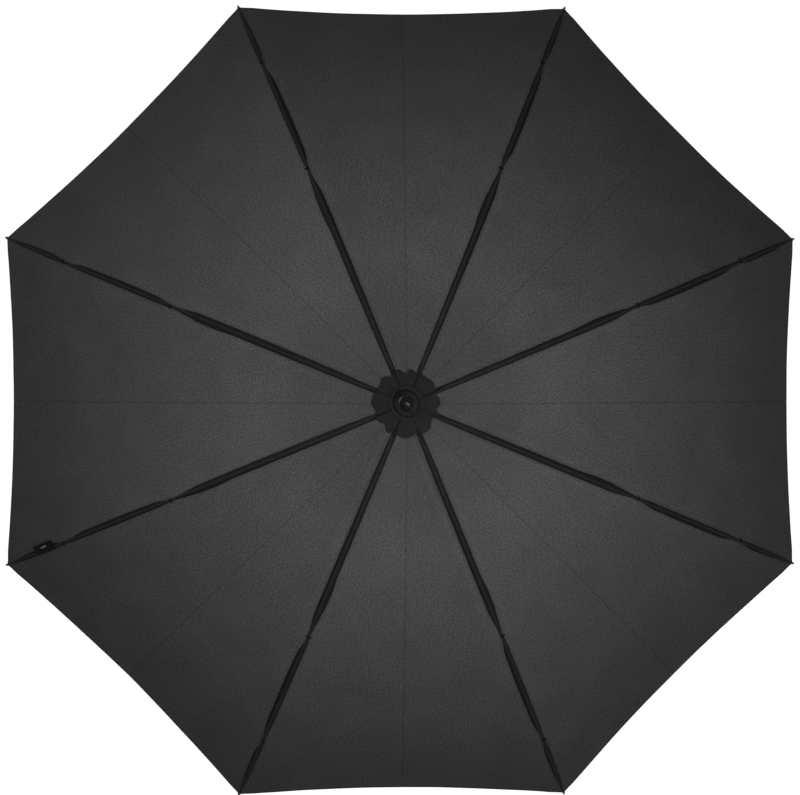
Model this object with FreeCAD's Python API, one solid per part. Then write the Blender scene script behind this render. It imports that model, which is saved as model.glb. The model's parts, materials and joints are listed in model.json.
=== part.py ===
# Golf umbrella, shown open: a tubular shaft with a straight handle and a ferrule, eight ribs that
# fold about a top notch, eight stretchers, a sliding runner driven by a spring, and a canopy of
# eight cloth gores. Millimetres, +Z up, origin at the centre of the handle's lower end.
import FreeCAD
import Part
import math
import os
from FreeCAD import Vector

# ---- driving dimensions -------------------------------------------------------------------------
RIBS = 8
STEP = 360.0 / RIBS             # angle between neighbouring ribs
HALF_STEP = STEP / 2.0
FIRST_AZIMUTH = 22.5            # azimuth of rib 1

FOLD_ANGLE = 63.0               # how far a rib turns from open to closed

# pivots: the notch above and the runner below, with links of equal length between them
NOTCH_Z = 930.0
PIVOT_R = 14.0                  # radius of the circle that the pivots lie on
LINK = 360.0                    # notch pivot to rib joint, and rib joint to runner pivot
PIN_R = 1.0
PIN_HALF = 3.2
EYE_BORE_R = 1.05
NECK_LENGTH = 7.5               # flattened end of a rib or stretcher, measured from its pivot

# ribs: round rods bent to one arc in the radial plane
RIB_ARC_R = 1162.0
RIB_SLOPE_HUB = 8.0             # degrees below horizontal, at the notch pivot
RIB_SLOPE_TIP = 43.0
RIB_R = 2.1
RIB_EYE_R = 3.4
RIB_EYE_HALF = 1.3
TIP_SPIGOT_R = 1.5
TIP_SPIGOT = 14.0               # length of the thin rib end inside its tip
TIP_R = 2.4
TIP_NOSE = 8.0                  # how far the tip stands out beyond the rib
TIP_NOSE_R = 1.3

# rib joints: a clip under the rib that carries the stretcher's pin
JOINT_DROP = 8.0                # pin below the rib's centre line
CLIP_R = 3.9
CLIP_LENGTH = 16.0
CLIP_TOP = 0.6
EAR_R = 3.6
EAR_INNER = 1.5
EAR_OUTER = 2.9

# stretchers: channels with flattened, pierced ends
STRETCHER_HALF_WIDTH = 1.8
STRETCHER_HALF_HEIGHT = 2.2
STRETCHER_WALL = 0.7
STRETCHER_EYE_R = 3.2
STRETCHER_EYE_HALF = 1.2

# shaft
SHAFT_R = 7.0
SHAFT_BORE_R = 6.0
SHAFT_BOTTOM = 20.0
SHAFT_TOP = 955.0

# notch and runner
NOTCH_R = 18.0
NOTCH_TOP = 4.5                 # above the pivots
NOTCH_FLANGE = 4.5              # below the pivots
NOTCH_SLEEVE = 18.0
HUB_SLEEVE_R = 9.8
SLOT_HALF = 1.6
SLOT_INNER_R = 10.3
CROWN_R = 18.5
CROWN_TOP = 4.0
CROWN_BOTTOM = 4.5
RUNNER_BORE_R = 7.35
RUNNER_SLEEVE_R = 9.6
RUNNER_LENGTH = 78.0            # below the pivots
RUNNER_RISE = 7.0               # above the pivots
CROSS_PIN_DROP = 30.0
CROSS_PIN_R = 1.5
CROSS_SLOT_HALF = 1.8
PUSHER_R = 5.6
PUSHER_HALF = 8.0

# springs
OPENING_WIRE_R = 0.8
OPENING_COIL_R = 4.8
OPENING_TURNS = 44
BUTTON_WIRE_R = 0.25
BUTTON_COIL_R = 1.8
BUTTON_TURNS = 5
BUTTON_SPRING_Z = 137.3
SPRING_GAP = 0.15

# hub stack and ferrule
WASHER = 0.6
ROSETTE = 0.8
ROSETTE_R = 48.0
ROSETTE_FLAT_R = 19.0
ROSETTE_EDGE_DROP = 6.0
COLLAR_R = 18.0
COLLAR_HEIGHT = 9.0
FERRULE_R = 12.5
FERRULE_HEIGHT = 44.0
FERRULE_END_R = 4.2

# handle
CAP_R = 16.5
CAP_HEIGHT = 12.0
SPRING_SEAT_Z = 60.0
CORE_R = 12.0
GRIP_R = 17.0
GRIP_TOP = 130.0
HOUSING_TOP = 160.0
HOUSING_R = 16.8
HOUSING_TOP_R = 15.4
HOUSING_FLOOR = 134.0
HOUSING_CAVITY_R = 14.0
HOUSING_CAVITY_TOP = 154.0
LIP_BORE_R = 10.2

# release button and its latch ring
BUTTON_HALF_WIDTH = 5.0
BUTTON_LOW = 135.0
BUTTON_HIGH = 151.0
BUTTON_INNER = 14.5
BUTTON_OUTER = 19.0
BUTTON_GAP = 0.3
LATCH_LOW = 144.0
LATCH_HIGH = 147.0
LATCH_OFFSET = 1.1              # centre of the ring, towards the button
LATCH_HOLE_R = 11.0
LATCH_R = 12.3
GROOVE_R = 8.8
GROOVE_GAP = 0.4

# cloth
CLOTH = 0.5                     # thickness, measured upright
STRIP_LIFT = 2.5                # underside of the cover strip above the rib's centre line
PANEL_LIFT = 3.4                # underside of a gore above the rib's centre line
STRIP_HALF = 11.0
PANEL_GAP = 1.5                 # from a gore's edge to the rib's plane
PANEL_INNER_R = 20.0
STRIP_INNER_R = 30.0
GORE_SAG = 14.0                 # how far the middle of a gore is drawn in between the ribs
HEM_DIP = 19.0                  # how far the hem is drawn up the slope between two tips
STATIONS = 10                   # sections along a gore
ACROSS = 6                      # intervals across a gore

# label and closing strap, both beside rib 5
LABEL_RIB = 5
LABEL_LENGTH = 41.0
LABEL_WIDTH = 11.5
LABEL_THICK = 0.6
LABEL_SHARE = 0.879             # distance from the hub, as a share of the tip radius
LABEL_OFFSET = -5.0
LABEL_LIFT = 4.6
STRAP_SLOPE = 41.3
STRAP_OFFSET = -13.0            # beside the rib, towards rib 4
STRAP_DROP = 9.0                # sewn edge below the rib's centre line
STRAP_WIDTH = 20.0
STRAP_LENGTH = 165.0
STRAP_THICK = 1.2
STRAP_ROLL_R = 1.5
PAD_LENGTH = 45.0
PAD_THICK = 0.8

# ---- derived places -----------------------------------------------------------------------------
ARC_CENTRE_R = PIVOT_R - RIB_ARC_R * math.sin(math.radians(RIB_SLOPE_HUB))
ARC_CENTRE_Z = NOTCH_Z - RIB_ARC_R * math.cos(math.radians(RIB_SLOPE_HUB))
JOINT_ARC_R = RIB_ARC_R - JOINT_DROP
JOINT_SLOPE = RIB_SLOPE_HUB + math.degrees(math.acos(
    (RIB_ARC_R ** 2 + JOINT_ARC_R ** 2 - LINK ** 2) / (2 * RIB_ARC_R * JOINT_ARC_R)))
TAN = Vector(0, 1, 0)
UP = Vector(0, 0, 1)
ORIGIN = Vector(0, 0, 0)


def on_arc(slope, lift=0.0):
    """Point in the radial plane where the rib slopes by this many degrees, lifted off its centre line."""
    turn = math.radians(slope)
    reach = RIB_ARC_R + lift
    return Vector(ARC_CENTRE_R + reach * math.sin(turn), 0, ARC_CENTRE_Z + reach * math.cos(turn))


def slope_at(radius, lift=0.0):
    """Slope of the rib's arc, in degrees, at a distance from the shaft's axis."""
    return math.degrees(math.asin((radius - ARC_CENTRE_R) / (RIB_ARC_R + lift)))


NOTCH_PIVOT = Vector(PIVOT_R, 0, NOTCH_Z)
JOINT_PIVOT = on_arc(JOINT_SLOPE, -JOINT_DROP)
RUNNER_Z = 2 * JOINT_PIVOT.z - NOTCH_Z
RUNNER_PIVOT = Vector(PIVOT_R, 0, RUNNER_Z)
OPEN_ANGLE = math.degrees(math.atan2(JOINT_PIVOT.x - PIVOT_R, NOTCH_Z - JOINT_PIVOT.z))
RUNNER_CLOSED_Z = NOTCH_Z - 2 * LINK * math.cos(math.radians(OPEN_ANGLE - FOLD_ANGLE))
CROSS_PIN_Z = RUNNER_Z - CROSS_PIN_DROP
HUB_TOP = NOTCH_Z + NOTCH_TOP
COLLAR_Z = HUB_TOP + WASHER + ROSETTE
TIP_SLOPE_LENGTH = math.degrees(1.0 / RIB_ARC_R)        # degrees of slope for each mm along the rib
TIP_R_OPEN = on_arc(RIB_SLOPE_TIP).x + TIP_NOSE * math.cos(math.radians(RIB_SLOPE_TIP))


# ---- helpers ------------------------------------------------------------------------------------
def turned(points):
    """Solid of revolution about Z from an outline of (radius, height) points."""
    corners = [Vector(radius, 0, height) for radius, height in points]
    face = Part.Face(Part.makePolygon(corners + corners[:1]))
    return face.revolve(ORIGIN, UP, 360).removeSplitter()


def ring(inner, outer, low, high):
    return turned([(inner, low), (outer, low), (outer, high), (inner, high)])


def box(x0, x1, y0, y1, z0, z1):
    return Part.makeBox(x1 - x0, y1 - y0, z1 - z0, Vector(x0, y0, z0))


def cross_cylinder(radius, half, centre):
    """Cylinder along the tangential direction, centred in the radial plane."""
    return Part.makeCylinder(radius, 2 * half, centre - TAN * half, TAN)


def swept_round(radius, slope_from, slope_to):
    """Round rod along the rib's arc between two slopes."""
    start = on_arc(slope_from)
    along = Vector(math.cos(math.radians(slope_from)), 0, -math.sin(math.radians(slope_from)))
    disc = Part.Face(Part.Wire(Part.makeCircle(radius, start, along)))
    return disc.revolve(Vector(ARC_CENTRE_R, 0, ARC_CENTRE_Z), TAN, slope_to - slope_from)


def tilted(shape, slope, place):
    """Turn a shape drawn along +X down by a slope, then move it to its place."""
    shape = shape.copy()
    shape.rotate(ORIGIN, TAN, slope)
    shape.translate(place)
    return shape


def azimuth_of(index):
    return FIRST_AZIMUTH + STEP * (index - 1)


def around(shape, azimuth):
    shape = shape.copy()
    shape.rotate(ORIGIN, UP, azimuth)
    return shape


def all_round(shape):
    return [around(shape, azimuth_of(index)) for index in range(1, RIBS + 1)]


def spring(coil_r, wire_r, length, turns):
    """Coil along +Z from the origin, its wire's ends inside the given length."""
    height = length - 2 * wire_r
    helix = Part.makeHelix(height / turns, height, coil_r)
    ring_wire = Part.Wire(Part.makeCircle(wire_r, Vector(coil_r, 0, 0), TAN))
    coil = Part.Wire(helix).makePipeShell([ring_wire], True, True)
    coil.translate(Vector(0, 0, wire_r))
    return coil


# ---- ribs, joints, tips and stretchers ------------------------------------------------------------
def make_rib():
    """Bent rod with a flattened, pierced inner end and a thin outer end for its tip."""
    neck_slope = RIB_SLOPE_HUB + NECK_LENGTH * TIP_SLOPE_LENGTH
    spigot_slope = RIB_SLOPE_TIP - TIP_SPIGOT * TIP_SLOPE_LENGTH
    rod = swept_round(RIB_R, neck_slope, spigot_slope)
    spigot = swept_round(TIP_SPIGOT_R, spigot_slope - TIP_SLOPE_LENGTH, RIB_SLOPE_TIP)
    neck = box(0, NECK_LENGTH + 2, -RIB_EYE_HALF, RIB_EYE_HALF, -RIB_R * 0.8, RIB_R * 0.8)
    neck = tilted(neck, RIB_SLOPE_HUB, NOTCH_PIVOT)
    eye = cross_cylinder(RIB_EYE_R, RIB_EYE_HALF, NOTCH_PIVOT)
    rib = rod.fuse([spigot, neck, eye])
    return rib.cut(cross_cylinder(EYE_BORE_R, RIB_EYE_HALF + 1, NOTCH_PIVOT)).removeSplitter()


def make_rib_tip():
    """Cap over the rib's end with a tapered nose."""
    start = RIB_SLOPE_TIP - (TIP_SPIGOT - 0.2) * TIP_SLOPE_LENGTH
    sleeve = swept_round(TIP_R, start, RIB_SLOPE_TIP)
    down = math.radians(RIB_SLOPE_TIP)
    along = Vector(math.cos(down), 0, -math.sin(down))
    end = on_arc(RIB_SLOPE_TIP)
    nose = Part.makeCone(TIP_R, TIP_NOSE_R, TIP_NOSE - TIP_NOSE_R, end, along)
    ball = Part.makeSphere(TIP_NOSE_R, end + along * (TIP_NOSE - TIP_NOSE_R))
    cap = sleeve.fuse([nose, ball])
    return cap.cut(swept_round(TIP_SPIGOT_R, start - 1, RIB_SLOPE_TIP)).removeSplitter()


def make_rib_joint():
    """Clip round the underside of the rib, with two ears, and the pin that they hold."""
    half = CLIP_LENGTH / 2 * TIP_SLOPE_LENGTH
    shell = swept_round(CLIP_R, JOINT_SLOPE - half, JOINT_SLOPE + half)
    shell = shell.cut(swept_round(RIB_R, JOINT_SLOPE - 2 * half, JOINT_SLOPE + 2 * half))
    top = box(-CLIP_LENGTH, CLIP_LENGTH, -2 * CLIP_R, 2 * CLIP_R, CLIP_TOP, 2 * CLIP_R)
    shell = shell.cut(tilted(top, JOINT_SLOPE, on_arc(JOINT_SLOPE)))
    clip = shell
    for side in (-1, 1):
        low, high = sorted((side * EAR_INNER, side * EAR_OUTER))
        plate = box(-EAR_R, EAR_R, low, high, -JOINT_DROP, -RIB_R - 0.4)
        plate = tilted(plate, JOINT_SLOPE, on_arc(JOINT_SLOPE))
        lobe = Part.makeCylinder(EAR_R, high - low, JOINT_PIVOT + TAN * low, TAN)
        clip = clip.fuse([plate, lobe])
    pin = cross_cylinder(PIN_R, PIN_HALF, JOINT_PIVOT)
    return Part.makeCompound([clip.cut(pin).removeSplitter(), pin])


def make_stretcher():
    """Channel from the rib joint's pin to the runner's pin, with a flat eye at each end."""
    high = STRETCHER_HALF_HEIGHT
    wide = STRETCHER_HALF_WIDTH
    bar = box(NECK_LENGTH, LINK - NECK_LENGTH, -wide, wide, -high, high)
    flute = box(NECK_LENGTH + 6, LINK - NECK_LENGTH - 6, -wide + STRETCHER_WALL, wide - STRETCHER_WALL,
                -high + STRETCHER_WALL, high + 1)
    bar = bar.cut(flute)
    flat = STRETCHER_EYE_HALF
    for centre, low, top in ((0, 0, NECK_LENGTH + 2), (LINK, LINK - NECK_LENGTH - 2, LINK)):
        neck = box(low, top, -flat, flat, -high, high)
        bar = bar.fuse([neck, cross_cylinder(STRETCHER_EYE_R, flat, Vector(centre, 0, 0))])
    for centre in (0, LINK):
        bar = bar.cut(cross_cylinder(EYE_BORE_R, flat + 1, Vector(centre, 0, 0)))
    reach = RUNNER_PIVOT - JOINT_PIVOT
    slope = -math.degrees(math.atan2(reach.z, reach.x))
    return tilted(bar.removeSplitter(), slope, JOINT_PIVOT)


# ---- notch, runner and shaft ----------------------------------------------------------------------
def make_top_notch():
    """Slotted crown fixed near the top of the shaft; its slots open outwards and downwards."""
    low = NOTCH_Z - NOTCH_FLANGE
    top = HUB_TOP
    crown = turned([(SHAFT_R, NOTCH_Z - NOTCH_SLEEVE), (HUB_SLEEVE_R, NOTCH_Z - NOTCH_SLEEVE),
                    (HUB_SLEEVE_R, low - 2), (HUB_SLEEVE_R + 2, low), (NOTCH_R, low), (NOTCH_R, top - 1),
                    (NOTCH_R - 1, top), (SHAFT_R, top)])
    slot = box(SLOT_INNER_R, NOTCH_R + 2, -SLOT_HALF, SLOT_HALF, low - 3, NOTCH_Z + RIB_EYE_R + 0.3)
    pin = cross_cylinder(PIN_R, PIN_HALF, NOTCH_PIVOT)
    return crown.cut(all_round(slot) + all_round(pin)).removeSplitter()


def make_runner():
    """Sliding sleeve: a slotted crown above, a thumb ring, and a grooved lower end for the latch."""
    z = RUNNER_Z
    bottom = z - RUNNER_LENGTH
    groove_low = z + LATCH_LOW - GROOVE_GAP - RUNNER_CLOSED_Z
    groove_high = z + LATCH_HIGH + GROOVE_GAP - RUNNER_CLOSED_Z
    sleeve = turned([(RUNNER_BORE_R, bottom), (RUNNER_SLEEVE_R - 0.6, bottom),
                     (RUNNER_SLEEVE_R, bottom + 0.8), (RUNNER_SLEEVE_R, groove_low), (GROOVE_R, groove_low),
                     (GROOVE_R, groove_high), (RUNNER_SLEEVE_R, groove_high), (RUNNER_SLEEVE_R, z - 46),
                     (13.0, z - 44), (13.0, z - 41), (RUNNER_SLEEVE_R + 0.6, z - 38),
                     (RUNNER_SLEEVE_R + 0.6, z - 16), (CROWN_R - 4, z - CROWN_BOTTOM - 2),
                     (CROWN_R, z - CROWN_BOTTOM), (CROWN_R, z + CROWN_TOP), (HUB_SLEEVE_R, z + CROWN_TOP),
                     (HUB_SLEEVE_R, z + RUNNER_RISE), (RUNNER_BORE_R, z + RUNNER_RISE)])
    slot_low = z - STRETCHER_EYE_R - 0.3
    slot = box(SLOT_INNER_R, CROWN_R + 2, -SLOT_HALF, SLOT_HALF, slot_low, z + RUNNER_RISE + 2)
    pin = cross_cylinder(PIN_R, PIN_HALF, RUNNER_PIVOT)
    drill = Part.makeCylinder(CROSS_PIN_R, 4 * CROWN_R, Vector(0, -2 * CROWN_R, CROSS_PIN_Z), TAN)
    return sleeve.cut(all_round(slot) + all_round(pin) + [drill]).removeSplitter()


def make_spring_pusher():
    """Plunger inside the shaft, and the cross pin that ties it to the runner through two slots."""
    plunger = Part.makeCylinder(PUSHER_R, 2 * PUSHER_HALF, Vector(0, 0, CROSS_PIN_Z - PUSHER_HALF))
    cross_pin = cross_cylinder(CROSS_PIN_R, RUNNER_SLEEVE_R, Vector(0, 0, CROSS_PIN_Z))
    return Part.makeCompound([plunger.cut(cross_pin), cross_pin])


def make_shaft():
    """Tube with two long slots for the runner's cross pin."""
    tube = ring(SHAFT_BORE_R, SHAFT_R, SHAFT_BOTTOM, SHAFT_TOP)
    low = RUNNER_CLOSED_Z - CROSS_PIN_DROP - CROSS_PIN_R - 1
    high = CROSS_PIN_Z + CROSS_PIN_R + 1
    slot = box(-CROSS_SLOT_HALF, CROSS_SLOT_HALF, -2 * SHAFT_R, 2 * SHAFT_R, low, high)
    return tube.cut(slot)


def make_opening_spring():
    length = CROSS_PIN_Z - PUSHER_HALF - SPRING_SEAT_Z
    coil = spring(OPENING_COIL_R, OPENING_WIRE_R, length, OPENING_TURNS)
    coil.translate(Vector(0, 0, SPRING_SEAT_Z))
    return coil


# ---- ferrule and hub cloth --------------------------------------------------------------------------
def make_ferrule_collar():
    low = COLLAR_Z
    top = low + COLLAR_HEIGHT
    return turned([(SHAFT_R, low), (COLLAR_R, low), (COLLAR_R, top - 3.5), (COLLAR_R - 1.2, top - 1.8),
                   (COLLAR_R - 3.0, top - 1.2), (COLLAR_R - 3.4, top), (SHAFT_R, top)])


def make_ferrule_tip():
    """Tapered point with a rounded end, bored to sit on the shaft."""
    low = COLLAR_Z + COLLAR_HEIGHT
    top = low + FERRULE_HEIGHT
    end_low = top - FERRULE_END_R
    points = [(0, low + 12), (SHAFT_R, low + 12), (SHAFT_R, low), (FERRULE_R, low), (FERRULE_R, low + 3),
              (FERRULE_R - 2.5, low + 5), (FERRULE_END_R + 1.4, end_low - 3), (FERRULE_END_R, end_low)]
    line = Part.makePolygon([Vector(radius, 0, height) for radius, height in points])
    bend = math.radians(45)
    waist = Vector(FERRULE_END_R * math.cos(bend), 0, end_low + FERRULE_END_R * math.sin(bend))
    dome = Part.Arc(Vector(FERRULE_END_R, 0, end_low), waist, Vector(0, 0, top)).toShape()
    axis = Part.makeLine(Vector(0, 0, top), Vector(0, 0, low + 12))
    outline = Part.Wire(line.Edges + [dome, axis])
    return Part.Face(outline).revolve(ORIGIN, UP, 360)


def make_hub_washer():
    return ring(SHAFT_R, NOTCH_R - 1, HUB_TOP, HUB_TOP + WASHER)


def make_hub_rosette():
    """Cloth disc over the gores' inner ends: flat under the ferrule, then sloping over the ribs."""
    low = HUB_TOP + WASHER
    edge = low - ROSETTE_EDGE_DROP
    return turned([(SHAFT_R + 0.2, low), (ROSETTE_FLAT_R, low), (ROSETTE_R, edge),
                   (ROSETTE_R, edge + ROSETTE), (ROSETTE_FLAT_R, low + ROSETTE),
                   (SHAFT_R + 0.2, low + ROSETTE)])


# ---- handle -----------------------------------------------------------------------------------------
def make_end_cap():
    """Cap under the grip; its spigot enters the shaft and seats the opening spring."""
    return turned([(0, 0), (CAP_R - 2, 0), (CAP_R - 0.6, 0.6), (CAP_R, 2), (CAP_R, CAP_HEIGHT),
                   (SHAFT_R, CAP_HEIGHT), (SHAFT_R, SHAFT_BOTTOM), (SHAFT_BORE_R, SHAFT_BOTTOM),
                   (SHAFT_BORE_R, SPRING_SEAT_Z), (0, SPRING_SEAT_Z)])


def make_handle_core():
    return ring(SHAFT_R, CORE_R, CAP_HEIGHT, GRIP_TOP)


def make_handle_grip():
    return ring(CORE_R, GRIP_R, CAP_HEIGHT, GRIP_TOP)


def make_handle_housing():
    """Housing above the grip: a cavity for the latch ring, a button window and an open top lip."""
    shell = turned([(SHAFT_R, GRIP_TOP), (HOUSING_R, GRIP_TOP), (HOUSING_R, HOUSING_TOP - 12),
                    (HOUSING_TOP_R, HOUSING_TOP - 1), (HOUSING_TOP_R - 1, HOUSING_TOP),
                    (LIP_BORE_R, HOUSING_TOP), (LIP_BORE_R, HOUSING_CAVITY_TOP),
                    (HOUSING_CAVITY_R, HOUSING_CAVITY_TOP),
                    (HOUSING_CAVITY_R, HOUSING_FLOOR), (SHAFT_R, HOUSING_FLOOR)])
    gap = BUTTON_GAP
    window = box(0, 2 * HOUSING_R, -BUTTON_HALF_WIDTH - gap, BUTTON_HALF_WIDTH + gap,
                 BUTTON_LOW - gap, BUTTON_HIGH + gap)
    return shell.cut(window).removeSplitter()


def make_release_button():
    half = BUTTON_HALF_WIDTH
    button = box(BUTTON_INNER, BUTTON_OUTER, -half, half, BUTTON_LOW, BUTTON_HIGH)
    face_edges = [edge for edge in button.Edges if edge.CenterOfMass.x > BUTTON_OUTER - 0.01]
    return button.makeFillet(1.2, face_edges)


def make_button_latch():
    """Ring plate round the runner's grooved end, moved by the button; drawn just clear of the sleeve."""
    centre = Vector(LATCH_OFFSET, 0, LATCH_LOW)
    thick = LATCH_HIGH - LATCH_LOW
    plate = Part.makeCylinder(LATCH_R, thick, centre)
    tab = box(LATCH_R, BUTTON_INNER, -3, 3, LATCH_LOW, LATCH_HIGH)
    return plate.fuse(tab).cut(Part.makeCylinder(LATCH_HOLE_R, thick, centre)).removeSplitter()


def make_button_spring():
    """Return spring between the shaft and the button, below the latch ring."""
    length = BUTTON_INNER - SHAFT_R - 2 * SPRING_GAP
    coil = spring(BUTTON_COIL_R, BUTTON_WIRE_R, length, BUTTON_TURNS)
    coil.rotate(ORIGIN, TAN, 90)
    coil.translate(Vector(SHAFT_R + SPRING_GAP, 0, BUTTON_SPRING_Z))
    return coil


# ---- canopy -----------------------------------------------------------------------------------------
def gore_point(slope, share, lift):
    """Point of a gore in a frame whose +X is the gore's middle; share runs from -1 to 1 across it."""
    whole = (slope - RIB_SLOPE_HUB) / (RIB_SLOPE_TIP - RIB_SLOPE_HUB)
    bow = 1 - share * share
    slope = slope - HEM_DIP * TIP_SLOPE_LENGTH * bow * whole ** 4
    base = on_arc(slope, lift)
    drawn = GORE_SAG * math.sin(math.pi * min(max(whole, 0), 1)) * bow
    turn = math.radians(slope)
    half = math.radians(HALF_STEP)
    return Vector(base.x * math.cos(half) - drawn * math.sin(turn), share * base.x * math.sin(half),
                  base.z - drawn * math.cos(turn))


def share_for(slope, gap):
    """Share across a gore at which its edge keeps a gap from the rib's plane."""
    return 1 - gap / (on_arc(slope).x * math.sin(math.radians(HALF_STEP)))


def make_gore():
    """One triangular gore between two ribs, drawn about +X."""
    first = slope_at(PANEL_INNER_R)
    rows = []
    for station in range(STATIONS + 1):
        slope = first + (RIB_SLOPE_TIP - first) * station / STATIONS
        edge = share_for(slope, PANEL_GAP)
        shares = [edge * (2 * step / ACROSS - 1) for step in range(ACROSS + 1)]
        rows.append([gore_point(slope, share, PANEL_LIFT) for share in shares])
    surface = Part.BSplineSurface()
    surface.interpolate(rows)
    return surface.toShape().extrude(UP * CLOTH)


def make_cover_strip():
    """Narrow cloth strip over a rib, under the edges of both gores, drawn about the rib's +X."""
    first = slope_at(STRIP_INNER_R)
    last = RIB_SLOPE_TIP - 1.0
    lines = {-1: [], 0: [], 1: []}
    for station in range(STATIONS + 1):
        slope = first + (last - first) * station / STATIONS
        lines[0].append(on_arc(slope, STRIP_LIFT))
        share = share_for(slope, STRIP_HALF)
        for side in (-1, 1):
            point = gore_point(slope, -side * share, STRIP_LIFT)
            turn = FreeCAD.Rotation(UP, side * HALF_STEP)
            lines[side].append(turn.multVec(point))
    edges = {}
    for side, points in lines.items():
        curve = Part.BSplineCurve()
        curve.interpolate(points)
        edges[side] = curve.toShape()
    halves = [Part.makeRuledSurface(edges[0], edges[side]).extrude(UP * CLOTH) for side in (-1, 1)]
    return halves[0].fuse(halves[1]).removeSplitter()


def make_label():
    """Small woven label on the gore beside rib 5, drawn about that rib's +X."""
    radius = LABEL_SHARE * TIP_R_OPEN
    slope = slope_at(radius)
    flap = box(-LABEL_LENGTH / 2, LABEL_LENGTH / 2, -LABEL_WIDTH / 2, LABEL_WIDTH / 2, 0, LABEL_THICK)
    roll = math.degrees(math.atan(math.tan(math.radians(HALF_STEP)) * math.sin(math.radians(slope))))
    flap.rotate(ORIGIN, Vector(1, 0, 0), roll)
    drop = abs(LABEL_OFFSET) * math.sin(math.radians(roll))
    return tilted(flap, slope, on_arc(slope, LABEL_LIFT - drop) + TAN * LABEL_OFFSET)


def strap_edge():
    """Middle of the strap's sewn edge, in the frame of rib 5."""
    return on_arc(STRAP_SLOPE, -STRAP_DROP) + TAN * STRAP_OFFSET


def make_closing_strap():
    """Strap that hangs plumb from its rolled, sewn edge, with a fastening pad on its lower end."""
    top = strap_edge()
    low = top.z - STRAP_LENGTH
    half = STRAP_WIDTH / 2
    band = box(top.x - STRAP_THICK / 2, top.x + STRAP_THICK / 2, top.y - half, top.y + half, low, top.z)
    band = band.fuse(cross_cylinder(STRAP_ROLL_R, half, top)).removeSplitter()
    face = top.x + STRAP_THICK / 2
    pad = box(face, face + PAD_THICK, top.y - half + 2, top.y + half - 2, low + 3, low + 3 + PAD_LENGTH)
    return Part.makeCompound([band, pad])


# ---- writing the sub-parts ----------------------------------------------------------------------------
def save(name, shape):
    for solid in shape.Solids:
        if not solid.isValid() or solid.Volume <= 0:
            raise RuntimeError(name + " has a bad solid")
    shape = shape.Solids[0] if len(shape.Solids) == 1 else Part.makeCompound(shape.Solids)
    shape.exportStep(os.path.join("parts", name + ".step"))
    print("%-18s %2d solid(s) %10.1f mm3" % (name, len(shape.Solids), shape.Volume))


def main():
    os.makedirs("parts", exist_ok=True)
    arms = {"rib": make_rib(), "rib_joint": make_rib_joint(), "rib_tip": make_rib_tip(),
            "stretcher": make_stretcher()}
    gore = around(make_gore(), HALF_STEP)
    canopy = Part.makeCompound([gore, make_cover_strip()])
    for index in range(1, RIBS + 1):
        for name, shape in arms.items():
            save("%s_%d" % (name, index), around(shape, azimuth_of(index)))
        save("canopy_panel_%d" % index, around(canopy, azimuth_of(index)))

    save("shaft_tube", make_shaft())
    save("top_notch", make_top_notch())
    save("notch_pins", Part.makeCompound(all_round(cross_cylinder(PIN_R, PIN_HALF, NOTCH_PIVOT))))
    save("runner", make_runner())
    save("runner_pins", Part.makeCompound(all_round(cross_cylinder(PIN_R, PIN_HALF, RUNNER_PIVOT))))
    save("spring_pusher", make_spring_pusher())
    save("opening_spring", make_opening_spring())
    save("ferrule_collar", make_ferrule_collar())
    save("ferrule_tip", make_ferrule_tip())
    save("hub_washer", make_hub_washer())
    save("hub_rosette", make_hub_rosette())
    save("handle_end_cap", make_end_cap())
    save("handle_core", make_handle_core())
    save("handle_grip", make_handle_grip())
    save("handle_housing", make_handle_housing())
    save("release_button", make_release_button())
    save("button_latch", make_button_latch())
    save("button_spring", make_button_spring())
    save("label_tag", around(make_label(), azimuth_of(LABEL_RIB)))
    save("closing_strap", around(make_closing_strap(), azimuth_of(LABEL_RIB)))

    print("runner pivot z: open %.3f, closed %.3f" % (RUNNER_Z, RUNNER_CLOSED_Z))
    print("rib joint pivot r %.3f z %.3f, slope %.3f" % (JOINT_PIVOT.x, JOINT_PIVOT.z, JOINT_SLOPE))
    print("tip radius %.2f, strap edge %s" % (TIP_R_OPEN, strap_edge()))


main()
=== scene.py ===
"""Looks of the golf umbrella: cloth gores, cover strips, hub rosette, label, strap and every finish.
Everything is in metres in the row frame, +Z up along the shaft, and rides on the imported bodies."""
import json
import math
import random

import bpy
from mathutils import Matrix, Vector, noise


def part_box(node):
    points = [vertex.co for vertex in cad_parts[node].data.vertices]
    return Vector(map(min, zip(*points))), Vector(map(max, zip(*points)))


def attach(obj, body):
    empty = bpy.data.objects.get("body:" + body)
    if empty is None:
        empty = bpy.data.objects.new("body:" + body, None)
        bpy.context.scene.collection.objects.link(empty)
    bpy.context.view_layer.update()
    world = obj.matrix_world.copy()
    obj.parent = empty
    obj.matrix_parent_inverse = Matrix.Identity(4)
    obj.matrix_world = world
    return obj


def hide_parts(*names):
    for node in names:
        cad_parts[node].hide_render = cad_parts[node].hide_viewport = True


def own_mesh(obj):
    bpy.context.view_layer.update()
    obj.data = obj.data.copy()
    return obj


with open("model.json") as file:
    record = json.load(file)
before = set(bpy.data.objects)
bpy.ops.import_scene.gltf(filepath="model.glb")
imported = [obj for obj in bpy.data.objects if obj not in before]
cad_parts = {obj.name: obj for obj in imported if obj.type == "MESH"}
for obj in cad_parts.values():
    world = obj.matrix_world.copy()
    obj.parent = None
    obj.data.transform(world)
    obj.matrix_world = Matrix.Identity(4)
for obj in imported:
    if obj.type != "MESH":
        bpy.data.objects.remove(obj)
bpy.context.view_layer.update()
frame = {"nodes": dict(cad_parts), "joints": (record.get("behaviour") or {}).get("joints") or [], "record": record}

MM = 0.001

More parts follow.
